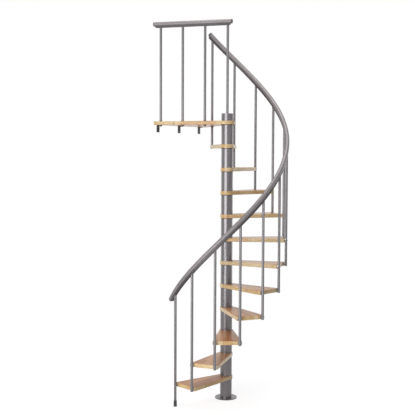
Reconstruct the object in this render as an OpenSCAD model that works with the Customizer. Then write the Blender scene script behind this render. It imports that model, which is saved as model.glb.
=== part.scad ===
// Spiral staircase: timber treads and a landing round a tubular steel pole, with steel balusters.
// The origin is on the floor, on the pole's axis. The stair climbs counterclockwise seen from above.

/* [Stair] */
// Height of one step, from tread top to tread top
rise = 225; // [180:1:250]
// Number of treads below the landing
tread_count = 11; // [6:1:12]
// Turn from one tread to the next, degrees
step_angle = 22.9; // [18:0.1:26]
// Direction of the first tread, degrees from +X
start_angle = -134.7; // [-180:0.1:180]
// Radius of the circle on which the balusters and the handrail stand
baluster_circle_r = 575; // [450:1:750]

/* [Treads] */
// Thickness of a tread
tread_t = 36; // [28:1:45]
// Distance from a baluster's axis to the tread's side, at the tread's outer end
tread_side = 20.85; // [12:0.05:40]
// Radius of the rounded inner end of a tread
tread_hub_r = 64; // [60:1:90]
// Corner radius at the outer end of a tread
tread_corner_r = 9; // [3:1:15]

/* [Pole] */
// Outer diameter of the pole's spacer tubes
pole_d = 114.3; // [90:0.1:118]
// Wall of the spacer tubes
pole_wall = 3.6; // [2:0.1:6]
// Outer diameter of the core tube inside the pole
core_d = 60.3; // [40:0.1:70]
// Wall of the core tube
core_wall = 5; // [3:0.1:8]
// Radial clearance between the core tube and what is threaded on it
core_clearance = 0.35; // [0.1:0.05:1]
// Height of the pole above the landing, with its cap
pole_top_h = 70; // [40:1:150]
// Thickness of the pole's top cap
cap_t = 5; // [3:1:12]
// Visible thickness of a centring ring below each tread
ring_t = 6; // [3:1:12]
// Depth of a centring ring's spigot inside the spacer tube
ring_spigot = 12; // [6:1:30]

/* [Base flange] */
// Diameter of the base flange
flange_d = 215; // [190:1:260]
// Thickness of the base flange
flange_t = 10; // [8:1:20]
// Edge chamfer of the base flange
flange_chamfer = 2; // [1:0.5:4]
// Diameter of the circle through the flange's bolt holes
flange_bolt_circle = 165; // [150:1:170]
// Number of bolt holes in the flange
flange_holes = 4; // [3:1:8]
// Diameter of a bolt hole in the flange
flange_hole_d = 12; // [8:0.5:14]

/* [Balusters] */
// Diameter of a baluster
baluster_d = 25; // [16:0.5:26]
// Gap between a tread's outer end face and the balusters beside it
baluster_gap = 3.5; // [3:0.1:12]
// Diameter of the round holder between a tread's end and a baluster
holder_d = 40; // [34:1:48]
// Depth of the holder's saddle round the baluster
holder_wrap = 10.4; // [4:0.1:12]
// Height of the plug that closes a baluster's lower end
plug_h = 3; // [2:0.5:6]
// Diameter of the first baluster's foot
foot_d = 31; // [28:1:45]
// Height of the first baluster's foot
foot_h = 58; // [30:1:90]
// Thickness of the foot below the baluster
foot_base = 6; // [3:1:12]

/* [Handrail] */
// Diameter of the handrails' round top
handrail_d = 43; // [36:1:55]
// Width of the flat bar along the handrails' underside
rail_bar_w = 26; // [22:1:34]
// Height of that bar below the round top
rail_bar_h = 14; // [6:1:25]
// Length by which that bar stops short of a handrail's ends
rail_bar_back = 6; // [2:1:20]
// Length of the slanted end of that bar
rail_bar_slant = 12; // [4:1:20]
// Height of the handrail's top above the tread beside each baluster
handrail_h = 904; // [800:1:1000]
// Level length by which the handrail runs past the first baluster
handrail_start = 95; // [40:1:160]
// Level length by which the handrail runs past the last baluster
handrail_end = 26; // [20:1:120]
// Thickness of the caps that close the handrails
rail_cap_t = 10; // [6:1:20]

/* [Landing] */
// Thickness of the landing
landing_t = 36; // [28:1:45]
// Radius of the landing's rounded end round the pole
landing_hub_r = 72; // [60:1:90]
// Angle between the last stair baluster and the landing's railing, seen from the pole
landing_sweep = 58.85; // [45:0.05:75]
// Distance from the pole's axis to the landing's corner, along the railing
landing_l = 744; // [720:1:900]
// Distance from the railing's line to the landing's edge at that corner
landing_edge = 30; // [26:1:60]
// Distance from the pole's axis to the landing's far corner
landing_back_l = 900; // [800:1:1100]
// Corner radius of the landing
landing_corner_r = 8; // [3:1:15]
// Spacing of the landing's balusters, from the pole's axis outwards
landing_pitch = 226.5; // [180:0.5:228]
// Number of balusters that stand on the landing
landing_balusters = 3; // [2:1:3]
// Height of the landing's rail above the landing
landing_rail_h = 969; // [850:0.5:1100]
// Length by which the landing's rail runs past its last baluster, with its cap
landing_rail_out = 77.5; // [30:0.5:120]
// Length by which the landing's rail runs past the pole's axis, with its cap
landing_rail_in = 47; // [30:0.5:120]
// Outer diameter of the rosettes where balusters meet the landing
rosette_d = 34; // [30:1:50]
// Thickness of the rosettes
rosette_t = 5; // [3:0.5:8]
// Diameter of the bolts that hold the landing's balusters
landing_bolt_d = 10; // [8:1:12]
// Width across the flats of those bolts' nuts
landing_nut_w = 17; // [14:1:22]
// Height of those nuts
landing_nut_h = 8; // [5:0.5:12]
// Radial clearance of what passes through the landing
landing_clearance = 0.5; // [0.2:0.1:2]

/* [Landing brackets] */
// Number of angle brackets below the landing's far edge
bracket_count = 3; // [2:1:3]
// Distance along the edge from the landing's corner to the first bracket
bracket_first = 60; // [40:1:100]
// Spacing of the brackets along the edge
bracket_pitch = 340; // [200:1:345]
// Width of a bracket
bracket_w = 40; // [30:1:60]
// Thickness of a bracket's plate
bracket_t = 5; // [4:0.5:8]
// Length of the leg below the landing's underside
bracket_drop = 70; // [60:1:120]
// Clearance between a bracket's level leg and the row of the outermost baluster's rosette
bracket_clearance = 3; // [1:0.5:10]
// Diameter of a bracket's fixing holes
bracket_hole_d = 9; // [6:0.5:12]
// Distance between a bracket's two fixing holes
bracket_hole_pitch = 30; // [24:1:36]

/* [Hidden] */
round_fn = 64;
arc_step_angle = 6;
rail_sides = 20;
rail_rings = 84;
rail_clearance = 0.15;
cut = 1;

landing_z = (tread_count + 1) * rise;
pole_top_z = landing_z + pole_top_h;
baluster_r = baluster_d / 2;
rail_r = handrail_d / 2;
core_bore_r = core_d / 2 + core_clearance;
first_baluster_angle = start_angle - step_angle / 2;
last_baluster = tread_count + 1;

// A baluster's place in the frame of a tread that points along +X
baluster_x = baluster_circle_r * cos(step_angle / 2);
baluster_y = baluster_circle_r * sin(step_angle / 2);
tread_l = baluster_x - baluster_r - baluster_gap;
tread_outer_w = 2 * (baluster_y + tread_side);

// The handrail climbs one rise in each step angle
step_arc = baluster_circle_r * step_angle * PI / 180;
rail_slope = atan(rise / step_arc);
rail_centre_h = handrail_h - rail_r / cos(rail_slope);
rail_low = rail_r + rail_bar_h;
rail_bar_join = asin(rail_bar_w / handrail_d);
rail_start_angle = first_baluster_angle - degrees_of(handrail_start);
rail_end_angle = baluster_angle(last_baluster) + degrees_of(handrail_end);

// The landing's railing runs level along landing_dir, from the pole's axis outwards
landing_angle = baluster_angle(last_baluster) + landing_sweep;
landing_dir = direction(landing_angle);
landing_rail_z = landing_z + landing_rail_h - rail_r;
landing_near = landing_dir * (landing_l - landing_corner_r)
    + direction(landing_angle + 90) * (landing_edge - landing_corner_r);
landing_far = direction(baluster_angle(last_baluster)) * (landing_back_l - landing_corner_r);
edge_angle = atan2(landing_far.y - landing_near.y, landing_far.x - landing_near.x);

// A bracket's level leg ends short of the rosette of the baluster that stands nearest to the edge
edge_to_post = (landing_near - landing_post(landing_balusters)) * direction(edge_angle + 90)
    + landing_corner_r;
bracket_reach = edge_to_post - rosette_d / 2 - bracket_clearance;

steel = [0.58, 0.57, 0.58];
dark_steel = [0.30, 0.29, 0.29];
timber = [0.80, 0.62, 0.42];
plastic = [0.20, 0.19, 0.19];

function pad(i) = i < 10 ? str("0", i) : str(i);
function tread_name(i) = str("tread_", pad(i));
function baluster_name(i) = str("baluster_", pad(i));
function landing_baluster_name(i) = str("landing_baluster_", i);

function direction(a) = [cos(a), sin(a)];
function tread_angle(i) = start_angle + (i - 1) * step_angle;
function baluster_angle(i) = first_baluster_angle + (i - 1) * step_angle;
function degrees_of(level_l) = level_l / baluster_circle_r * 180 / PI;
function tread_z(i) = i * rise;
function rail_z(a) = rise + rail_centre_h + (a - first_baluster_angle) / step_angle * rise;

// The outward normal's angle on the straight side that joins two circles [centre, radius]
function side_angle(p, q) =
    atan2(q[0].y - p[0].y, q[0].x - p[0].x) - acos((p[1] - q[1]) / norm(q[0] - p[0]));

// A belt round circles given counterclockwise: an arc on each, joined by straight sides
function belt(circles) = [
    for (i = [0 : len(circles) - 1])
        let (
            c = circles[i],
            a0 = side_angle(circles[(i + len(circles) - 1) % len(circles)], c),
            a1 = side_angle(c, circles[(i + 1) % len(circles)]),
            sweep = (a1 - a0 + 720) % 360,
            steps = ceil(sweep / arc_step_angle)
        )
        for (k = [0 : steps]) c[0] + c[1] * direction(a0 + sweep * k / steps)
];

// A ring round the pole's axis from z0 to z1
module tube(z0, z1, outer_r, inner_r) {
    translate([0, 0, z0]) difference() {
        cylinder(r = outer_r, h = z1 - z0, $fn = round_fn);
        translate([0, 0, -cut]) cylinder(r = inner_r, h = z1 - z0 + 2 * cut, $fn = round_fn);
    }
}

// A round disc with eased edges on its far side, from z = 0 up
module eased_disc(r, h, ease) {
    rotate_extrude($fn = round_fn)
        polygon(concat(
            [[0, 0], [r, 0]],
            [for (k = [0 : 4]) [r - ease + ease * cos(k * 22.5), h - ease + ease * sin(k * 22.5)]],
            [[0, h]]
        ));
}

// ---- pole ----

module base_flange() {
    color(steel) difference() {
        rotate_extrude($fn = round_fn)
            polygon([
                [0, 0], [flange_d / 2, 0], [flange_d / 2, flange_t - flange_chamfer],
                [flange_d / 2 - flange_chamfer, flange_t], [0, flange_t]
            ]);
        for (i = [0 : flange_holes - 1])
            rotate([0, 0, (i + 0.5) * 360 / flange_holes])
                translate([flange_bolt_circle / 2, 0, -cut])
                    cylinder(d = flange_hole_d, h = flange_t + 2 * cut, $fn = round_fn);
    }
}

module core_tube() {
    color(dark_steel)
        tube(flange_t, pole_top_z - cap_t, core_d / 2, core_d / 2 - core_wall);
}

module spacer_tubes() {
    color(steel) {
        tube(flange_t, rise - tread_t - ring_t, pole_d / 2, pole_d / 2 - pole_wall);
        for (i = [1 : tread_count - 1])
            tube(tread_z(i), tread_z(i + 1) - tread_t - ring_t, pole_d / 2, pole_d / 2 - pole_wall);
        tube(tread_z(tread_count), landing_z - landing_t - ring_t, pole_d / 2, pole_d / 2 - pole_wall);
        tube(landing_z, pole_top_z - cap_t, pole_d / 2, pole_d / 2 - pole_wall);
    }
}

// A flat ring under a tread, with a spigot that centres the spacer tube below it
module centring_ring(top_z) {
    spigot_r = pole_d / 2 - pole_wall - core_clearance;
    translate([0, 0, top_z]) rotate_extrude($fn = round_fn)
        polygon([
            [core_bore_r, 0], [pole_d / 2, 0], [pole_d / 2, -ring_t],
            [spigot_r, -ring_t], [spigot_r, -ring_t - ring_spigot],
            [core_bore_r, -ring_t - ring_spigot]
        ]);
}

module centring_rings() {
    color(plastic) {
        for (i = [1 : tread_count]) centring_ring(tread_z(i) - tread_t);
        centring_ring(landing_z - landing_t);
    }
}

module pole_cap() {
    color(steel) translate([0, 0, pole_top_z - cap_t]) eased_disc(pole_d / 2, cap_t, 2);
}

// ---- treads ----

module tread(i) {
    corner_x = tread_l - tread_corner_r;
    corner_y = tread_outer_w / 2 - tread_corner_r;
    outline = belt([
        [[0, 0], tread_hub_r],
        [[corner_x, -corner_y], tread_corner_r],
        [[corner_x, corner_y], tread_corner_r]
    ]);
    color(timber) rotate([0, 0, tread_angle(i)]) translate([0, 0, tread_z(i) - tread_t])
        difference() {
            linear_extrude(height = tread_t) polygon(outline);
            translate([0, 0, -cut]) cylinder(r = core_bore_r, h = tread_t + 2 * cut, $fn = round_fn);
        }
}

// ---- landing ----

// Centre of baluster i of the landing's railing, counted from the pole outwards
function landing_post(i) = landing_dir * (i * landing_pitch);

module landing() {
    outline = belt([
        [[0, 0], landing_hub_r],
        [landing_far, landing_corner_r],
        [landing_near, landing_corner_r]
    ]);
    color(timber) translate([0, 0, landing_z - landing_t]) difference() {
        linear_extrude(height = landing_t) polygon(outline);
        through_hole([0, 0], core_bore_r);
        through_hole(
            direction(baluster_angle(last_baluster)) * baluster_circle_r,
            baluster_r + landing_clearance
        );
        for (i = [1 : landing_balusters])
            through_hole(landing_post(i), landing_bolt_d / 2 + landing_clearance);
    }
}

module through_hole(place, r) {
    translate([place.x, place.y, -cut]) cylinder(r = r, h = landing_t + 2 * cut, $fn = round_fn);
}

module landing_bolts() {
    nut_top = landing_z - landing_t - rosette_t;
    color(dark_steel) for (i = [1 : landing_balusters])
        translate([landing_post(i).x, landing_post(i).y, 0]) {
            translate([0, 0, nut_top])
                cylinder(d = landing_bolt_d, h = landing_t + 2 * rosette_t, $fn = round_fn);
            translate([0, 0, nut_top - landing_nut_h])
                cylinder(d = landing_nut_w / cos(30), h = landing_nut_h, $fn = 6);
        }
}

module landing_rosettes() {
    last = direction(baluster_angle(last_baluster)) * baluster_circle_r;
    color(dark_steel) {
        for (i = [1 : landing_balusters], z = [landing_z, landing_z - landing_t - rosette_t])
            translate([landing_post(i).x, landing_post(i).y, 0])
                tube(z, z + rosette_t, rosette_d / 2, landing_bolt_d / 2);
        for (z = [landing_z, landing_z - landing_t - rosette_t])
            translate([last.x, last.y, 0])
                tube(z, z + rosette_t, rosette_d / 2, baluster_r);
    }
}

// An angle bracket: x points out of the landing's far edge, y runs along it, z = 0 is the underside
module bracket() {
    hole_z = -(bracket_t + bracket_drop) / 2;
    difference() {
        union() {
            translate([-bracket_t, -bracket_w / 2, -bracket_drop])
                cube([bracket_t, bracket_w, bracket_drop]);
            translate([-bracket_reach, -bracket_w / 2, -bracket_t])
                cube([bracket_reach, bracket_w, bracket_t]);
        }
        for (side = [-1, 1])
            translate([-bracket_t - cut, 0, hole_z + side * bracket_hole_pitch / 2])
                rotate([0, 90, 0])
                    cylinder(d = bracket_hole_d, h = bracket_t + 2 * cut, $fn = round_fn);
    }
}

module landing_brackets() {
    color(dark_steel) translate([landing_near.x, landing_near.y, landing_z - landing_t])
        rotate([0, 0, edge_angle + 90])
            for (i = [0 : bracket_count - 1])
                translate([landing_corner_r, -(bracket_first + i * bracket_pitch), 0]) bracket();
}

// ---- balusters ----

// Moves to the handrail's round centre at angle a: x points outwards, y down and z uphill
module on_handrail(a) {
    translate([0, 0, rail_z(a)]) rotate([0, 0, a]) translate([baluster_circle_r, 0, 0])
        rotate([-(90 - rail_slope), 0, 0]) children();
}

module baluster(i) {
    a = baluster_angle(i);
    z0 = i == 1 ? foot_base : tread_z(i - 1) - tread_t;
    color(steel) difference() {
        rotate([0, 0, a]) translate([baluster_circle_r, 0, z0])
            cylinder(r = baluster_r, h = rail_z(a) - z0, $fn = round_fn);
        on_handrail(a) translate([-handrail_d, -handrail_d, -2 * handrail_d])
            cube([2 * handrail_d, handrail_d + rail_low + rail_clearance, 4 * handrail_d]);
    }
}

// A round holder on the tread's end face, hollowed to seat the baluster
module holder(side) {
    translate([tread_l, side * baluster_y, -tread_t / 2]) difference() {
        rotate([0, 90, 0])
            cylinder(d = holder_d, h = baluster_gap + holder_wrap, $fn = round_fn);
        translate([baluster_x - tread_l, 0, 0])
            cylinder(r = baluster_r, h = 2 * holder_d, center = true, $fn = round_fn);
    }
}

module baluster_holders() {
    color(dark_steel) for (i = [1 : tread_count], side = [-1, 1])
        rotate([0, 0, tread_angle(i)]) translate([0, 0, tread_z(i)]) holder(side);
}

module baluster_plugs() {
    color(plastic) for (i = [2 : last_baluster])
        rotate([0, 0, baluster_angle(i)])
            translate([baluster_circle_r, 0, tread_z(i - 1) - tread_t])
                rotate([180, 0, 0]) eased_disc(baluster_r, plug_h, 2);
}

module baluster_foot() {
    color(plastic) rotate([0, 0, first_baluster_angle]) translate([baluster_circle_r, 0, 0])
        difference() {
            eased_disc(foot_d / 2, foot_h, 2);
            translate([0, 0, foot_base]) cylinder(r = baluster_r, h = foot_h, $fn = round_fn);
        }
}

// ---- handrails ----

// A handrail's section as [outwards, up] points: the round top, then the bar's two lower corners.
// Without the bar, its corners lie on the round.
function rail_section(with_bar) =
    let (tuck = rail_bar_join / 3)
    concat(
        [
            for (k = [0 : rail_sides])
                let (t = -90 + rail_bar_join + (360 - 2 * rail_bar_join) * k / rail_sides)
                rail_r * direction(t)
        ],
        with_bar
            ? [[-rail_bar_w / 2, -rail_low], [rail_bar_w / 2, -rail_low]]
            : [rail_r * direction(-90 - tuck), rail_r * direction(-90 + tuck)]
    );

// The points of the handrail's section at angle a
function rail_ring(a, with_bar) =
    let (
        out = [cos(a), sin(a), 0],
        up = [sin(rail_slope) * sin(a), -sin(rail_slope) * cos(a), cos(rail_slope)],
        centre = [baluster_circle_r * cos(a), baluster_circle_r * sin(a), rail_z(a)]
    )
    [for (p = rail_section(with_bar)) centre + p.x * out + p.y * up];

module handrail() {
    back = degrees_of(rail_bar_back);
    bar_start = rail_start_angle + back + degrees_of(rail_bar_slant);
    bar_end = rail_end_angle - back - degrees_of(rail_bar_slant);
    rings = concat(
        [rail_ring(rail_start_angle, false), rail_ring(rail_start_angle + back, false)],
        [
            for (j = [0 : rail_rings])
                rail_ring(bar_start + (bar_end - bar_start) * j / rail_rings, true)
        ],
        [rail_ring(rail_end_angle - back, false), rail_ring(rail_end_angle, false)]
    );
    count = len(rings[0]);
    points = [for (ring = rings) each ring];
    sides = [
        for (j = [0 : len(rings) - 2], k = [0 : count - 1])
            let (
                p = j * count + k,
                q = j * count + (k + 1) % count
            )
            for (face = [[p, p + count, q], [q, p + count, q + count]]) face
    ];
    ends = [
        [for (k = [0 : count - 1]) k],
        [for (k = [count - 1 : -1 : 0]) len(points) - count + k]
    ];
    color(steel) polyhedron(points, concat(sides, ends), convexity = 10);
}

module handrail_caps() {
    color(plastic) {
        on_handrail(rail_start_angle) rotate([180, 0, 0]) eased_disc(rail_r, rail_cap_t, 6);
        on_handrail(rail_end_angle) eased_disc(rail_r, rail_cap_t, 6);
    }
}

// Moves to the landing rail's round centre at distance s from the pole's axis: x points down
// and z along the rail, outwards
module on_landing_rail(s) {
    translate([0, 0, landing_rail_z]) rotate([0, 0, landing_angle]) translate([s, 0, 0])
        rotate([0, 90, 0]) children();
}

landing_rail_s0 = -(landing_rail_in - rail_cap_t);
landing_rail_s1 = landing_balusters * landing_pitch + landing_rail_out - rail_cap_t;

// The last one, number landing_balusters + 1, stands on the pole's cap
module landing_baluster(i) {
    on_pole = i > landing_balusters;
    s = on_pole ? 0 : i * landing_pitch;
    z0 = on_pole ? pole_top_z : landing_z + rosette_t;
    color(steel) translate([(landing_dir * s).x, (landing_dir * s).y, z0])
        cylinder(r = baluster_r, h = landing_rail_z - rail_low - z0, $fn = round_fn);
}

module landing_rail() {
    length = landing_rail_s1 - landing_rail_s0;
    low = rail_bar_back + rail_bar_slant;
    color(steel) on_landing_rail(landing_rail_s0) {
        cylinder(r = rail_r, h = length, $fn = round_fn);
        rotate([90, 0, 0]) linear_extrude(height = rail_bar_w, center = true)
            polygon([
                [0, rail_bar_back], [rail_low, low], [rail_low, length - low],
                [0, length - rail_bar_back]
            ]);
    }
}

module landing_rail_caps() {
    color(plastic) {
        on_landing_rail(landing_rail_s0) rotate([180, 0, 0]) eased_disc(rail_r, rail_cap_t, 6);
        on_landing_rail(landing_rail_s1) eased_disc(rail_r, rail_cap_t, 6);
    }
}

base_flange();
core_tube();
spacer_tubes();
centring_rings();
pole_cap();
for (i = [1 : tread_count])
    tread(i);
landing();
landing_bolts();
landing_rosettes();
landing_brackets();
for (i = [1 : last_baluster])
    baluster(i);
baluster_holders();
baluster_plugs();
baluster_foot();
handrail();
handrail_caps();
for (i = [1 : landing_balusters + 1])
    landing_baluster(i);
landing_rail();
landing_rail_caps();
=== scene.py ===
"""Spiral staircase: timber treads and a landing round a silver-grey steel pole, with balusters.

Places and sizes come from the CAD frame, in metres. The origin is on the floor, on the pole's axis.
"""

import math

import bpy
from mathutils import Matrix, Vector, geometry

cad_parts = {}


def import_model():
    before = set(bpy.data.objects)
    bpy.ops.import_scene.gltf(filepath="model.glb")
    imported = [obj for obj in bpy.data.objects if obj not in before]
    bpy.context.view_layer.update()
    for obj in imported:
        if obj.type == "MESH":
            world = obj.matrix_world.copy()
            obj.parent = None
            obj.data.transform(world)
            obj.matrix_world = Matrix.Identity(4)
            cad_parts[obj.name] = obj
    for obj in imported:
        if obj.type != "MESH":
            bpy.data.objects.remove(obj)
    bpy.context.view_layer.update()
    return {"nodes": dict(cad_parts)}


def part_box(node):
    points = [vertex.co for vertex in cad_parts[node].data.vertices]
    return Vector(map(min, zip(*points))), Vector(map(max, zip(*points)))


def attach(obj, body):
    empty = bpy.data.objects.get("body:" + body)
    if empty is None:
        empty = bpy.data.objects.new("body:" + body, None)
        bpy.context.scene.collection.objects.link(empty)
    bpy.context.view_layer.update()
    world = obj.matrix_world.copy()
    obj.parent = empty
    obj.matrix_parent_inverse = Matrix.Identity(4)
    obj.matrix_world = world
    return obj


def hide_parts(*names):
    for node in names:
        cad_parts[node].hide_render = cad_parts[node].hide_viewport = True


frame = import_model()
nodes = frame["nodes"]


# ---- sizes read from the frame ----

def size(node):
    low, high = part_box(node)
    return high - low


def middle(node):
    low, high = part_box(node)
    return (low + high) / 2


def bearing(node):
    """Direction of a node's middle, seen from the pole."""
    return math.atan2(middle(node).y, middle(node).x)


TREADS = sorted(n for n in nodes if n.startswith("tread_"))
BALUSTERS = sorted(n for n in nodes if n.startswith("baluster_") and n[-1].isdigit())
LANDING_BALUSTERS = sorted(n for n in nodes if n.startswith("landing_baluster_"))

TREAD_T = size(TREADS[0]).z
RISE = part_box(TREADS[1])[1].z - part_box(TREADS[0])[1].z
CIRCLE_R = middle(BALUSTERS[0]).xy.length
STEP_ANGLE = bearing(BALUSTERS[1]) - bearing(BALUSTERS[0])
BALUSTER_R = size(BALUSTERS[0]).x / 2
LANDING_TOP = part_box("landing")[1].z
LANDING_T = size("landing").z
LANDING_HEADING = bearing(LANDING_BALUSTERS[0])
LANDING_WAY = Vector((math.cos(LANDING_HEADING), math.sin(LANDING_HEADING), 0))
ROSETTE_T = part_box("landing_rosettes")[1].z - LANDING_TOP
CORE_R = size("core_tube").x / 2


def span(points, way):
    """Lowest and highest reach of points along a direction."""
    reach = [p.dot(way) for p in points]
    return min(reach), max(reach)


def extent(points, way):
    low, high = span(points, way)
    return high - low


def corners(node):
    return [v.co for v in nodes[node].data.vertices]


# A handrail has a round top and, along its underside, a flat bar that stops short of its ends
FOOT_SLACK = 0.0005
ACROSS_RAIL = Vector((-LANDING_WAY.y, LANDING_WAY.x, 0))
RAIL_BOTTOM, RAIL_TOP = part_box("landing_rail")[0].z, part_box("landing_rail")[1].z
BAR_FOOT = [p for p in corners("landing_rail") if p.z < RAIL_BOTTOM + FOOT_SLACK]
RAIL_S0, RAIL_S1 = span(corners("landing_rail"), LANDING_WAY)
RAIL_R = extent(corners("landing_rail"), ACROSS_RAIL) / 2
BAR_W = extent(BAR_FOOT, ACROSS_RAIL)
BAR_H = RAIL_TOP - RAIL_BOTTOM - 2 * RAIL_R
BAR_END = RAIL_S1 - span(BAR_FOOT, LANDING_WAY)[1]
CAP_L = span(corners("landing_rail_caps"), LANDING_WAY)[1] - RAIL_S1

UP = Vector((0, 0, 1))
QUARTER = math.radians(90)


def tread_heading(index):
    return bearing(BALUSTERS[index]) + STEP_ANGLE / 2


# ---- mesh tools ----

CREASE = math.radians(35)


def piece(name, points, faces, material, slot, replaced=()):
    """A mesh piece that rides on the stair. Edges that turn by more than CREASE stay sharp."""
    mesh = bpy.data.meshes.new(name)
    mesh.from_pydata([tuple(p) for p in points], [], faces)
    mesh.validate()
    mesh.shade_smooth()
    mesh.set_sharp_from_angle(angle=CREASE)
    mesh.materials.append(material)
    made = bpy.data.objects.new(name, mesh)
    bpy.context.scene.collection.objects.link(made)
    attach(made, "root")
    if replaced:
        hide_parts(*replaced)
    return made


def ring_faces(first, second, count):
    """Quads between two rings of count points that start at these indices."""
    return [
        (first + k, first + (k + 1) % count, second + (k + 1) % count, second + k)
        for k in range(count)
    ]


def rings(loops, closed=True):
    """Points and faces of a skin over loops of equally many points, with flat ends if closed."""
    count = len(loops[0])
    points = [p for loop in loops for p in loop]
    faces = []
    for i in range(len(loops) - 1):
        faces += ring_faces(i * count, (i + 1) * count, count)
    if closed:
        faces.append(tuple(reversed(range(count))))
        faces.append(tuple(range(len(points) - count, len(points))))
    return points, faces


def joined(parts):
    """One list of points and one of faces from several."""
    points, faces = [], []
    for more_points, more_faces in parts:
        faces += [tuple(i + len(points) for i in face) for face in more_faces]
        points += more_points
    return points, faces


def axes(origin, along):
    """A frame at origin whose +Z is along."""
    along = Vector(along).normalized()
    return Matrix.Translation(origin) @ along.to_track_quat("Z", "Y").to_matrix().to_4x4()


def turned(profile, place, sides, radius_at=lambda angle, r: r):
    """A solid of revolution: profile is (radius, height) from its lower end. radius_at bends it."""
    loops = []
    for r, z in profile:
        loop = []
        for k in range(sides):
            angle = math.tau * k / sides
            reach = radius_at(angle, r)
            loop.append(place @ Vector((reach * math.cos(angle), reach * math.sin(angle), z)))
        loops.append(loop)
    return rings(loops)


# ---- materials ----

MIX_FACTOR, MIX_A, MIX_B, MIX_RESULT = 0, 6, 7, 2  # a Mix node's colour sockets


class Look:
    """A material under construction. Most methods add a node and return its output."""

    def __init__(self, name, constants):
        self.material = bpy.data.materials.new(name)
        self.material.use_nodes = True
        self.tree = self.material.node_tree
        self.shader = self.tree.nodes["Principled BSDF"]
        for socket, value in constants.items():
            self.shader.inputs[socket].default_value = value
        self.coordinates = self.tree.nodes.new("ShaderNodeTexCoord").outputs

    def put(self, socket, value):
        if isinstance(value, bpy.types.NodeSocket):
            self.tree.links.new(value, socket)
        else:
            socket.default_value = value

    def node(self, kind, inputs, output=0, **settings):
        made = self.tree.nodes.new("ShaderNode" + kind)
        for name, value in settings.items():
            setattr(made, name, value)
        for name, value in inputs.items():
            self.put(made.inputs[name], value)
        return made.outputs[output]

    def math(self, operation, a, b=0.0):
        return self.node("Math", {0: a, 1: b}, operation=operation)

    def scaled(self, vector, scale):
        return self.node("Mapping", {"Vector": vector, "Scale": scale})

    def noise(self, vector, scale, detail, distortion=0.0):
        inputs = {"Vector": vector, "Scale": scale, "Detail": detail, "Distortion": distortion}
        return self.node("TexNoise", inputs)

    def band(self, value, low, high, to_low=0.0, to_high=1.0):
        """Remaps value from low..high to to_low..to_high, clamped."""
        inputs = {"From Min": low, "From Max": high, "To Min": to_low, "To Max": to_high}
        return self.node("MapRange", {"Value": value, **inputs})

    def blend(self, factor, a, b, mode="MIX"):
        made = self.tree.nodes.new("ShaderNodeMix")
        made.data_type = "RGBA"
        made.blend_type = mode
        for index, value in ((MIX_FACTOR, factor), (MIX_A, a), (MIX_B, b)):
            self.put(made.inputs[index], value)
        return made.outputs[MIX_RESULT]

    def tinted(self, colour, tint):
        return self.blend(1.0, colour, (*tint, 1), "MULTIPLY")

    def ramp(self, value, stops):
        """A colour picked by value from stops of (position, colour), which rise from 0 to 1."""
        made = self.tree.nodes.new("ShaderNodeValToRGB")
        elements = made.color_ramp.elements
        for position, _ in stops[1:-1]:
            elements.new(position)
        for element, (_, colour) in zip(elements, stops):
            element.color = (*colour, 1)
        self.put(made.inputs[0], value)
        return made.outputs[0]

    def bump(self, height, distance, strength):
        inputs = {"Height": height, "Distance": distance, "Strength": strength}
        self.put(self.shader.inputs["Normal"], self.node("Bump", inputs))

    def near_whole(self, value, reach):
        """1 where value is within reach of a whole number, else 0."""
        return self.math("LESS_THAN", self.math("PINGPONG", value, 0.5), reach)


STAVE_W = 0.043
STAVE_L = 0.36
SEAM = 0.0004  # half of a seam's width
SEAM_BROWN = (0.22, 0.13, 0.07)
ROW_SHIFT = 0.31  # each board's rows lie this share of a stave further over than the last board's
BOARD_STEP = 7.3  # keeps the boards' random shifts apart
STREAK_STRETCH = (2.0, 40, 40)
FIBRE_STRETCH = (22, 420, 420)
FLECK_STRETCH = (160, 900, 900)
FIBRE_DEPTH = 0.00012
BEECH_GLOSS = {
    "Coat Weight": 0.35, "Coat Roughness": 0.08, "Coat IOR": 1.5, "Specular IOR Level": 0.15,
}
STREAK_TINT = (0.80, 0.76, 0.70)
FIBRE_TINT = (0.86, 0.80, 0.72)
FLECK_TINT = (0.72, 0.60, 0.48)
# Painted light: tops are coloured darker and redder and sides paler and yellower, for how each is
# lit; the beech is the same
TIMBER_TOP_AS_LIT = [
    (0.0, (0.46, 0.195, 0.080)),
    (0.35, (0.54, 0.270, 0.125)),
    (0.7, (0.61, 0.340, 0.165)),
    (1.0, (0.66, 0.390, 0.210)),
]
TIMBER_SIDE_AS_LIT = [
    (0.0, (0.57, 0.365, 0.175)),
    (0.3, (0.62, 0.445, 0.225)),
    (0.65, (0.66, 0.500, 0.275)),
    (1.0, (0.69, 0.550, 0.350)),
]


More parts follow.
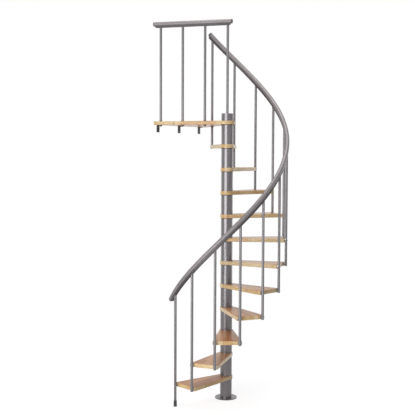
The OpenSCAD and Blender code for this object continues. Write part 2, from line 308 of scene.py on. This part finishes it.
def timber(name, seed, heading, top):
    """Lacquered beech, glued up from staves along a heading, each with its own tone and grain. Tops
    and sides take different colours, which is painted light.
    """
    look = Look(name, BEECH_GLOSS)
    place = look.coordinates["Object"]
    level = look.node("VectorMath", {0: place, 1: (0, 0, top)}, operation="SUBTRACT")
    own = look.node("Mapping", {"Vector": level, "Rotation": (0, 0, -heading)})
    split = look.tree.nodes.new("ShaderNodeSeparateXYZ")
    look.put(split.inputs[0], own)
    x, y = split.outputs[0], split.outputs[1]

    across = look.math("ADD", look.math("DIVIDE", y, STAVE_W), ROW_SHIFT * seed)
    row = look.math("FLOOR", across)
    draw = look.math("ADD", row, BOARD_STEP * seed)
    shift = look.node("TexWhiteNoise", {"W": draw}, noise_dimensions="1D")
    along = look.math("ADD", look.math("DIVIDE", x, STAVE_L), shift)
    column = look.math("FLOOR", along)
    stave = look.node("CombineXYZ", {0: row, 1: column, 2: float(seed)})
    tone = look.node("TexWhiteNoise", {"Vector": stave}, noise_dimensions="3D")
    jump = look.node("TexWhiteNoise", {"Vector": stave}, output=1, noise_dimensions="3D")

    moved = look.node("VectorMath", {0: own, 1: jump}, operation="ADD")
    streaks = look.noise(look.scaled(moved, STREAK_STRETCH), 1.6, 6, 0.5)
    fibres = look.noise(look.scaled(moved, FIBRE_STRETCH), 1.0, 3)
    flecks = look.noise(look.scaled(moved, FLECK_STRETCH), 1.0, 1)

    # Painted light: the colour switches between the side ramp and the top ramp by the surface's
    # normal
    face = look.ramp(tone, TIMBER_TOP_AS_LIT)
    edge = look.ramp(tone, TIMBER_SIDE_AS_LIT)
    normal = look.tree.nodes.new("ShaderNodeSeparateXYZ")
    look.put(normal.inputs[0], look.coordinates["Normal"])
    flat = look.band(look.math("ABSOLUTE", normal.outputs[2]), 0.5, 0.9)
    colour = look.blend(flat, edge, face)
    plain = look.band(streaks, 0.3, 0.7)
    colour = look.blend(plain, look.tinted(colour, STREAK_TINT), colour)
    fibrous = look.band(fibres, 0.35, 0.65, 0.0, 0.35)
    colour = look.blend(fibrous, colour, look.tinted(colour, FIBRE_TINT))
    flecked = look.band(flecks, 0.62, 0.72, 0.0, 0.45)
    colour = look.blend(flecked, colour, look.tinted(colour, FLECK_TINT))
    long_seam = look.near_whole(across, SEAM / STAVE_W)
    seam = look.math("MAXIMUM", long_seam, look.near_whole(along, SEAM / STAVE_L))
    colour = look.blend(look.math("MULTIPLY", seam, 0.5), colour, (*SEAM_BROWN, 1))
    look.put(look.shader.inputs["Base Color"], colour)
    look.put(look.shader.inputs["Roughness"], look.band(fibres, 0.3, 0.7, 0.34, 0.46))
    relief = look.math("SUBTRACT", look.math("MULTIPLY", fibres, 0.4), seam)
    look.bump(relief, FIBRE_DEPTH, 0.6)
    return look.material


SILVER = (0.162, 0.152, 0.159)
RAIL_GREY = (0.200, 0.182, 0.186)
# The bar's darker grey is painted shade: it stands for the shade under a handrail's round top, not
# for a different finish
BAR_SHADE_GREY = (0.060, 0.054, 0.056)
NICKEL = (0.300, 0.285, 0.262)
BLACKENED = (0.050, 0.050, 0.052)
PLASTIC = (0.028, 0.027, 0.028)
FLAKE_SCALE = 2600
PEEL_SCALE = 420
PEEL = 0.000004  # height of an orange peel
SKIN_SCALE = 1500
SKIN_DEPTH = 0.00003


def coated_metal(name, colour, metallic, roughness, peel=0.0, flake=0.05):
    """Metallic lacquer with fine flakes, a drifting roughness and, where given, an orange peel."""
    look = Look(name, {"Metallic": metallic, "Specular IOR Level": 0.5})
    own = look.coordinates["Object"]
    flakes = look.noise(own, FLAKE_SCALE, 1)
    cloud = look.noise(own, 5, 3)
    light = (*[c * (1 + flake) for c in colour], 1)
    dark = (*[c * (1 - flake) for c in colour], 1)
    tone = look.blend(look.band(flakes, 0.35, 0.65), dark, light)
    look.put(look.shader.inputs["Base Color"], tone)
    look.put(look.shader.inputs["Roughness"], look.band(cloud, 0.3, 0.7, *roughness))
    if peel:
        look.bump(look.noise(own, PEEL_SCALE, 2), peel, 1.0)
    return look.material


def moulded(name, colour, roughness):
    """Dark moulded plastic with a fine grained skin."""
    look = Look(name, {"Specular IOR Level": 0.5})
    own = look.coordinates["Object"]
    grain = look.noise(own, SKIN_SCALE, 2)
    cloud = look.noise(own, 9, 2)
    light = (*[c * 1.15 for c in colour], 1)
    tone = look.blend(look.band(cloud, 0.35, 0.65), (*colour, 1), light)
    look.put(look.shader.inputs["Base Color"], tone)
    look.put(look.shader.inputs["Roughness"], look.band(cloud, 0.3, 0.7, *roughness))
    look.bump(grain, SKIN_DEPTH, 0.7)
    return look.material


pole_metal = coated_metal("pole_silver_coat", SILVER, 0.55, (0.17, 0.23))
baluster_metal = coated_metal("baluster_silver_coat", SILVER, 0.45, (0.26, 0.32))
rail_metal = coated_metal("handrail_grey_coat", RAIL_GREY, 0.65, (0.48, 0.56))
# painted shade for the flat bar under the handrails
bar_shade_metal = coated_metal("handrail_bar_painted_shade", BAR_SHADE_GREY, 0.5, (0.44, 0.52))
holder_metal = coated_metal("holder_nickel", NICKEL, 0.8, (0.22, 0.30), PEEL)
black_steel = coated_metal("blackened_steel", BLACKENED, 0.7, (0.36, 0.48), PEEL, flake=0.2)
dark_plastic = moulded("dark_plastic", PLASTIC, (0.38, 0.5))


def coat(material, *names):
    """Gives CAD nodes that keep their own shape this material."""
    for name in names:
        for place in nodes[name].material_slots:
            place.material = material


coat(pole_metal, "base_flange", "spacer_tubes", "pole_cap")
coat(baluster_metal, *BALUSTERS, *LANDING_BALUSTERS)
coat(holder_metal, "baluster_holders")
coat(black_steel, "core_tube", "landing_rosettes", "landing_brackets")
coat(dark_plastic, "centring_rings", "baluster_plugs", "baluster_foot")


# ---- timber boards ----

EDGE_EASE = 0.003
EDGE_STEPS = 5
HOLE_SIDES = 48
SAME_SPOT = 0.0003


def plan(node, heading):
    """A convex node's outline from above, counterclockwise, turned so that heading is along +X."""
    turn = Matrix.Rotation(-heading, 2)
    seen = [turn @ v.co.xy for v in nodes[node].data.vertices]
    outline = []
    for i in geometry.convex_hull_2d(seen):
        if not outline or (seen[i] - outline[-1]).length > SAME_SPOT:
            outline.append(seen[i])
    area = sum(a.cross(b) for a, b in zip(outline, outline[1:] + outline[:1]))
    return outline if area > 0 else outline[::-1]


def inset(outline, distance):
    """The outline moved inwards by distance."""
    moved = []
    for before, here, after in zip(outline[-1:] + outline[:-1], outline, outline[1:] + outline[:1]):
        first = (here - before).normalized()
        second = (after - here).normalized()
        inwards = Vector((-first.y - second.y, first.x + second.x))
        moved.append(here + inwards * (distance / (1 + first.dot(second))))
    return moved


def circle(centre, radius):
    points = []
    for k in range(HOLE_SIDES):
        t = math.tau * k / HOLE_SIDES
        points.append(Vector((centre.x + radius * math.cos(t), centre.y + radius * math.sin(t))))
    return points


def board(outline, holes, thickness):
    """A board under z = 0 with rounded edges. Holes are (centre, radius)."""
    turns = [QUARTER * k / EDGE_STEPS for k in range(EDGE_STEPS + 1)]
    bends = [(EDGE_EASE * (1 - math.sin(t)), EDGE_EASE * (1 - math.cos(t))) for t in turns]
    ease = [(shy, rise - thickness) for shy, rise in bends] + [(rise, -shy) for shy, rise in bends]
    skin = [[p.to_3d() + UP * z for p in inset(outline, distance)] for distance, z in ease]
    points, faces = rings(skin, closed=False)
    count = len(outline)
    bottom, top = list(range(count)), list(range(len(points) - count, len(points)))
    walls = []
    for centre, radius in holes:
        start = len(points)
        points += [p.to_3d() - UP * thickness for p in circle(centre, radius)]
        points += [p.to_3d() for p in circle(centre, radius)]
        walls.append(start)
        faces += ring_faces(start + HOLE_SIDES, start, HOLE_SIDES)
    for level, edge in ((0, bottom), (1, top)):
        rims = [[start + level * HOLE_SIDES + k for k in range(HOLE_SIDES)] for start in walls]
        index = edge + [i for rim in rims for i in rim]
        lines = [[points[i] for i in loop] for loop in (edge, *rims)]
        for triangle in geometry.tessellate_polygon(lines):
            face = [index[i] for i in triangle]
            a, b, c = (points[i] for i in face)
            upwards = (b - a).cross(c - a).z > 0
            faces.append(tuple(face if upwards == bool(level) else reversed(face)))
    return points, faces


def timber_board(name, node, heading, seed, spots=()):
    """The board of a CAD node, bored for the core tube and for balusters at these spots."""
    top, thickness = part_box(node)[1].z, size(node).z
    turn = Matrix.Rotation(-heading, 2)
    holes = [(Vector((0, 0)), CORE_R)] + [(turn @ spot.xy, BALUSTER_R) for spot in spots]
    points, faces = board(plan(node, heading), holes, thickness)
    place = Matrix.Translation((0, 0, top)) @ Matrix.Rotation(heading, 4, "Z")
    wood = timber(f"beech_{name}", seed, heading, top)
    piece(name, [place @ p for p in points], faces, wood, slot="timber", replaced=[node])


for index, node in enumerate(TREADS):
    timber_board(f"board_{index + 1:02d}", node, tread_heading(index), index + 1)
timber_board("landing_board", "landing", LANDING_HEADING, len(TREADS) + 2, [middle(BALUSTERS[-1])])


# ---- handrails ----

RAIL_SIDES = 40
RAIL_RINGS = 260
BAR_EASE = 0.0025
BAR_EASE_STEPS = 4
CAP_SIDES = 48
CAP_SKIRT = 0.0022
CAP_CHAMFER = 0.0004
GROOVE_W = 0.0008
GROOVE_D = 0.0015
DOME_TURN = math.radians(82)
DOME_STEPS = 8
DOME_TIP = 0.42
CLIMB = RISE / STEP_ANGLE
SLOPE = math.atan2(RISE, CIRCLE_R * STEP_ANGLE)


def rail_line():
    """Height of the handrail's round centre at bearing 0, and the bearings of its two ends."""
    spots = corners("handrail")
    angles = [math.atan2(p.y, p.x) for p in spots]
    base = max(p.z - CLIMB * a for p, a in zip(spots, angles)) - RAIL_R / math.cos(SLOPE)
    along = [CIRCLE_R * a * math.cos(SLOPE) + p.z * math.sin(SLOPE) for p, a in zip(spots, angles)]
    per_turn = CIRCLE_R * math.cos(SLOPE) + CLIMB * math.sin(SLOPE)
    ends = [(s - base * math.sin(SLOPE)) / per_turn for s in (min(along), max(along))]
    return base, *ends


RAIL_BASE, RAIL_START, RAIL_END = rail_line()


def helix_frame(angle):
    """Centre, outward, upward and uphill directions of the stair's handrail."""
    out = Vector((math.cos(angle), math.sin(angle), 0))
    uphill = UP.cross(out) * math.cos(SLOPE) + UP * math.sin(SLOPE)
    return out * CIRCLE_R + UP * (RAIL_BASE + CLIMB * angle), out, out.cross(uphill), uphill


def level_frame(s):
    """The same for the landing's rail, at distance s from the pole."""
    return LANDING_WAY * s + UP * (RAIL_TOP - RAIL_R), LANDING_WAY.cross(UP), UP, LANDING_WAY


def rail_section(with_bar):
    """A handrail's outline as (outwards, up), counterclockwise from the bar's right side."""
    join = math.asin(BAR_W / 2 / RAIL_R)
    down = -QUARTER
    sweep = math.tau - 2 * join
    turns = [down + join + sweep * k / RAIL_SIDES for k in range(RAIL_SIDES + 1)]
    outline = [(RAIL_R * math.cos(t), RAIL_R * math.sin(t)) for t in turns]
    count = 2 * (BAR_EASE_STEPS + 1)
    if not with_bar:
        turns = [down - join + 2 * join * k / (count + 1) for k in range(1, count + 1)]
        return outline + [(RAIL_R * math.cos(t), RAIL_R * math.sin(t)) for t in turns]
    level = BAR_EASE - RAIL_R - BAR_H
    for side, first in ((-1, math.pi), (1, 1.5 * math.pi)):
        across = side * (BAR_W / 2 - BAR_EASE)
        for k in range(BAR_EASE_STEPS + 1):
            t = first + QUARTER * k / BAR_EASE_STEPS
            outline.append((across + BAR_EASE * math.cos(t), level + BAR_EASE * math.sin(t)))
    return outline


def rail(frame_at, start, end, per_metre, count):
    """A handrail's skin. per_metre turns a length along it into frame_at's own measure.

    The bar slopes in from a third of BAR_END to the whole of it.
    """
    back, full = BAR_END / 3 * per_metre, BAR_END * per_metre
    run = end - start - 2 * full
    stations = [(start, False), (start + back, False)]
    stations += [(start + full + run * k / count, True) for k in range(count + 1)]
    stations += [(end - back, False), (end, False)]
    loops = []
    for s, with_bar in stations:
        centre, out, up, _ = frame_at(s)
        loops.append([centre + out * u + up * v for u, v in rail_section(with_bar)])
    return rings(loops)


def shade_the_bar(made):
    """Paints the flat bar under a handrail darker: painted shade, standing for the shade under the
    round top.
    """
    made.data.materials.append(bar_shade_metal)
    around = len(rail_section(True))
    last = len(made.data.vertices) // around - 2
    for face in made.data.polygons:
        ring, side = divmod(face.index, around)
        if side >= RAIL_SIDES and 0 < ring < last:
            face.material_index = 1


def end_cap(place):
    """A domed plastic plug with a narrow groove where it meets the tube."""
    crown = CAP_L - CAP_SKIRT - GROOVE_W
    floor_r = RAIL_R - GROOVE_D
    profile = [
        (floor_r, 0), (floor_r, GROOVE_W),
        (RAIL_R - CAP_CHAMFER, GROOVE_W), (RAIL_R, GROOVE_W + CAP_CHAMFER),
    ]
    for k in range(DOME_STEPS + 1):
        turn = DOME_TURN * k / DOME_STEPS
        reach = RAIL_R * (DOME_TIP + (1 - DOME_TIP) * math.cos(turn))
        rise = crown * math.sin(turn) / math.sin(DOME_TURN)
        profile.append((reach, GROOVE_W + CAP_SKIRT + rise))
    return turned(profile, place, CAP_SIDES)


def handrail(name, node, frame_at, start, end, per_metre, count):
    """A CAD handrail's visible pieces: the rail with its bar, and its two end caps."""
    skin = rail(frame_at, start, end, per_metre, count)
    shade_the_bar(piece(name, *skin, rail_metal, slot="handrail", replaced=[node]))
    low, high = frame_at(start), frame_at(end)
    caps = joined([end_cap(axes(low[0], -low[3])), end_cap(axes(high[0], high[3]))])
    piece(f"{node}_end_caps", *caps, dark_plastic, slot="rail_cap", replaced=[f"{node}_caps"])


PER_METRE = math.cos(SLOPE) / CIRCLE_R
handrail("stair_handrail", "handrail", helix_frame, RAIL_START, RAIL_END, PER_METRE, RAIL_RINGS)
handrail("landing_handrail", "landing_rail", level_frame, RAIL_S0, RAIL_S1, 1, 1)


# ---- bolts and screws ----

NUT_W = 0.017
NUT_H = 0.008
NUT_SIDES = 72
NUT_FACE = 0.93  # radius of a nut's end face, as a share of its corners'
NUT_CHAMFER = 0.0012
STUD_R = 0.005
STUD_END = 0.003
STUD_CHAMFER = 0.001
SCREW_R = 0.0045
SCREW_H = 0.0024
SCREW_SIDES = 36
SCREW_STEPS = 5
SCREW_SKIRT = 0.0005
SCREW_RIM = 0.0006
SCREW_SINK = 0.0004
SOCKET_R = 0.0022
SOCKET_D = 0.0016
HOLDER_DROP = TREAD_T / 2


def hexagon(angle, r):
    """Keeps a ring of radius r inside a nut's six flats."""
    return min(r, NUT_W / 2 / math.cos((angle % (math.pi / 3)) - math.pi / 6))


def nut(place):
    """A nut with both ends chamfered, standing on z = 0, and the end of its stud."""
    corner = NUT_W / 2 / math.cos(math.pi / 6)
    face = corner * NUT_FACE
    tip = NUT_H + STUD_END
    profile = [
        (STUD_R, 0), (face, 0), (corner, NUT_CHAMFER), (corner, NUT_H - NUT_CHAMFER), (face, NUT_H),
        (STUD_R, NUT_H), (STUD_R, tip - STUD_CHAMFER), (STUD_R - STUD_CHAMFER, tip),
    ]
    return turned(profile, place, NUT_SIDES, hexagon)


def screw(place):
    """A button head with a socket, standing on z = 0."""
    rim = SOCKET_R + SCREW_RIM
    profile = [(SCREW_R, 0), (SCREW_R, SCREW_SKIRT)]
    for k in range(1, SCREW_STEPS + 1):
        turn = QUARTER * k / SCREW_STEPS
        reach = rim + (SCREW_R - rim) * math.cos(turn)
        profile.append((reach, SCREW_SKIRT + (SCREW_H - SCREW_SKIRT) * math.sin(turn)))
    profile += [(SOCKET_R, SCREW_H), (SOCKET_R, SCREW_H - SOCKET_D)]
    return turned(profile, place, SCREW_SIDES)


# The last landing baluster stands on the pole's cap, so it has no bolt
nut_z = LANDING_TOP - LANDING_T - ROSETTE_T
nuts = [nut(axes(Vector((*middle(n).xy, nut_z)), -UP)) for n in LANDING_BALUSTERS[:-1]]
piece("landing_nuts", *joined(nuts), black_steel, slot="dark_steel", replaced=["landing_bolts"])

screws = []
for index, node in enumerate(TREADS):
    heading = tread_heading(index)
    out = Vector((math.cos(heading), math.sin(heading), 0))
    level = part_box(node)[1].z - HOLDER_DROP
    for post in (BALUSTERS[index], BALUSTERS[index + 1]):
        spot = Vector((*middle(post).xy, level)) + out * (BALUSTER_R - SCREW_SINK)
        screws.append(screw(axes(spot, out)))
piece("holder_screws", *joined(screws), holder_metal, slot="holder")


# ---- studio ----

FLOOR_HALF = 60
FLOOR_MATTE = 0.8  # the floor as the stair is lit by it
FLOOR_WHITE = 0.36  # the floor as it is seen near the stair, where it keeps the shadow
FLOOR_GLOW = 0.80
FLOOR_POOL = (1.2, 4.0)  # distances from the pole over which the seen floor turns plain white
AMBIENT = (0.25, 0.25, 0.26)


def seen_rays(tree):
    """1 for rays from the camera, in reflections and through glass, else 0."""
    path = tree.nodes.new("ShaderNodeLightPath").outputs
    total = path["Is Camera Ray"]
    for name in ("Is Glossy Ray", "Is Transmission Ray"):
        joint = tree.nodes.new("ShaderNodeMath")
        joint.operation = "MAXIMUM"
        tree.links.new(total, joint.inputs[0])
        tree.links.new(path[name], joint.inputs[1])
        total = joint.outputs[0]
    return total


def floor():
    """A white floor that keeps a soft shadow near the stair and is plain white further out."""
    mesh = bpy.data.meshes.new("floor")
    square = [(-1, -1), (1, -1), (1, 1), (-1, 1)]
    mesh.from_pydata([(FLOOR_HALF * x, FLOOR_HALF * y, 0) for x, y in square], [], [(0, 1, 2, 3)])
    made = bpy.data.objects.new("floor", mesh)
    bpy.context.scene.collection.objects.link(made)
    material = bpy.data.materials.new("studio_floor")
    material.use_nodes = True
    tree = material.node_tree
    tree.nodes.clear()

    def add(kind, *inputs):
        node = tree.nodes.new("ShaderNode" + kind)
        for socket, value in zip(node.inputs, inputs):
            if isinstance(value, bpy.types.NodeSocket):
                tree.links.new(value, socket)
            else:
                socket.default_value = value
        return node

    matte = add("BsdfDiffuse", (FLOOR_MATTE,) * 3 + (1,)).outputs[0]
    shaded = add("BsdfDiffuse", (FLOOR_WHITE,) * 3 + (1,)).outputs[0]
    glow = add("Emission", (1, 1, 1, 1), FLOOR_GLOW).outputs[0]
    near = add("AddShader", shaded, glow).outputs[0]
    white = add("Emission", (1, 1, 1, 1), 1.0).outputs[0]
    distance = tree.nodes.new("ShaderNodeVectorMath")
    distance.operation = "LENGTH"
    tree.links.new(tree.nodes.new("ShaderNodeTexCoord").outputs["Object"], distance.inputs[0])
    fade = tree.nodes.new("ShaderNodeMapRange")
    tree.links.new(distance.outputs["Value"], fade.inputs["Value"])
    fade.inputs["From Min"].default_value, fade.inputs["From Max"].default_value = FLOOR_POOL
    seen = add("MixShader", fade.outputs[0], near, white).outputs[0]
    surface = add("MixShader", seen_rays(tree), matte, seen).outputs[0]
    tree.links.new(surface, tree.nodes.new("ShaderNodeOutputMaterial").inputs["Surface"])
    mesh.materials.append(material)


def world():
    """A dim light from all round, and plain white where it is seen itself or mirrored."""
    sky = bpy.data.worlds.new("studio")
    bpy.context.scene.world = sky
    sky.use_nodes = True
    tree = sky.node_tree
    background = tree.nodes["Background"]
    mix = tree.nodes.new("ShaderNodeMix")
    mix.data_type = "RGBA"
    tree.links.new(seen_rays(tree), mix.inputs[MIX_FACTOR])
    mix.inputs[MIX_A].default_value = (*AMBIENT, 1)
    mix.inputs[MIX_B].default_value = (1, 1, 1, 1)
    tree.links.new(mix.outputs[MIX_RESULT], background.inputs["Color"])


def softbox(name, place, target, width, height, radiance):
    """A rectangular lamp at a place, which faces a target. The camera doesn't see it."""
    lamp = bpy.data.lights.new(name, "AREA")
    lamp.shape = "RECTANGLE"
    lamp.size, lamp.size_y = width, height
    lamp.energy = radiance * math.pi * width * height
    made = bpy.data.objects.new(name, lamp)
    bpy.context.scene.collection.objects.link(made)
    turn = (Vector(target) - Vector(place)).to_track_quat("-Z", "Y").to_matrix().to_4x4()
    made.matrix_world = Matrix.Translation(place) @ turn
    made.visible_camera = False


floor()
world()
softbox("key", (-2.75, -5.2, 1.85), (0, 0, 1.7), width=4.8, height=3.35, radiance=4.8)
softbox("key_upper", (-2.75, -5.2, 4.0), (0, 0, 3.85), width=4.8, height=0.9, radiance=1.9)
softbox("low_fill", (-1.2, -1.95, 0.58), (0, 0, 0.58), width=0.9, height=1.12, radiance=1.6)
softbox("right_back", (3.6, 3.4, 2.2), (0, 0, 1.8), width=2.4, height=3.6, radiance=1.6)
softbox("left_back", (-3.6, 3.0, 2.2), (0, 0, 1.8), width=2.0, height=3.6, radiance=1.2)
softbox("top", (0.1, -0.5, 6.2), (0, 0, 1.0), width=3.0, height=2.6, radiance=5.0)


# ---- camera ----

CAMERA_PLACE = Vector((0, -8.2605, 2.353))
CAMERA_TURN = 0.0227  # radians to the left
CAMERA_DIP = 0.0591  # radians down
CAMERA_ROLL = 0.0042  # radians counterclockwise
CAMERA_LENS = 74.16  # mm


def camera():
    lens = bpy.data.cameras.new("camera")
    lens.lens = CAMERA_LENS
    lens.sensor_width = 36
    lens.clip_end = 200
    made = bpy.data.objects.new("camera", lens)
    bpy.context.scene.collection.objects.link(made)
    level = Matrix.Rotation(QUARTER, 4, "X")
    turn = Matrix.Rotation(CAMERA_TURN, 4, "Z")
    dip = Matrix.Rotation(-CAMERA_DIP, 4, "X")
    roll = Matrix.Rotation(CAMERA_ROLL, 4, "Z")
    made.matrix_world = Matrix.Translation(CAMERA_PLACE) @ turn @ dip @ level @ roll
    bpy.context.scene.camera = made


camera()
bpy.context.scene.view_settings.view_transform = "Standard"
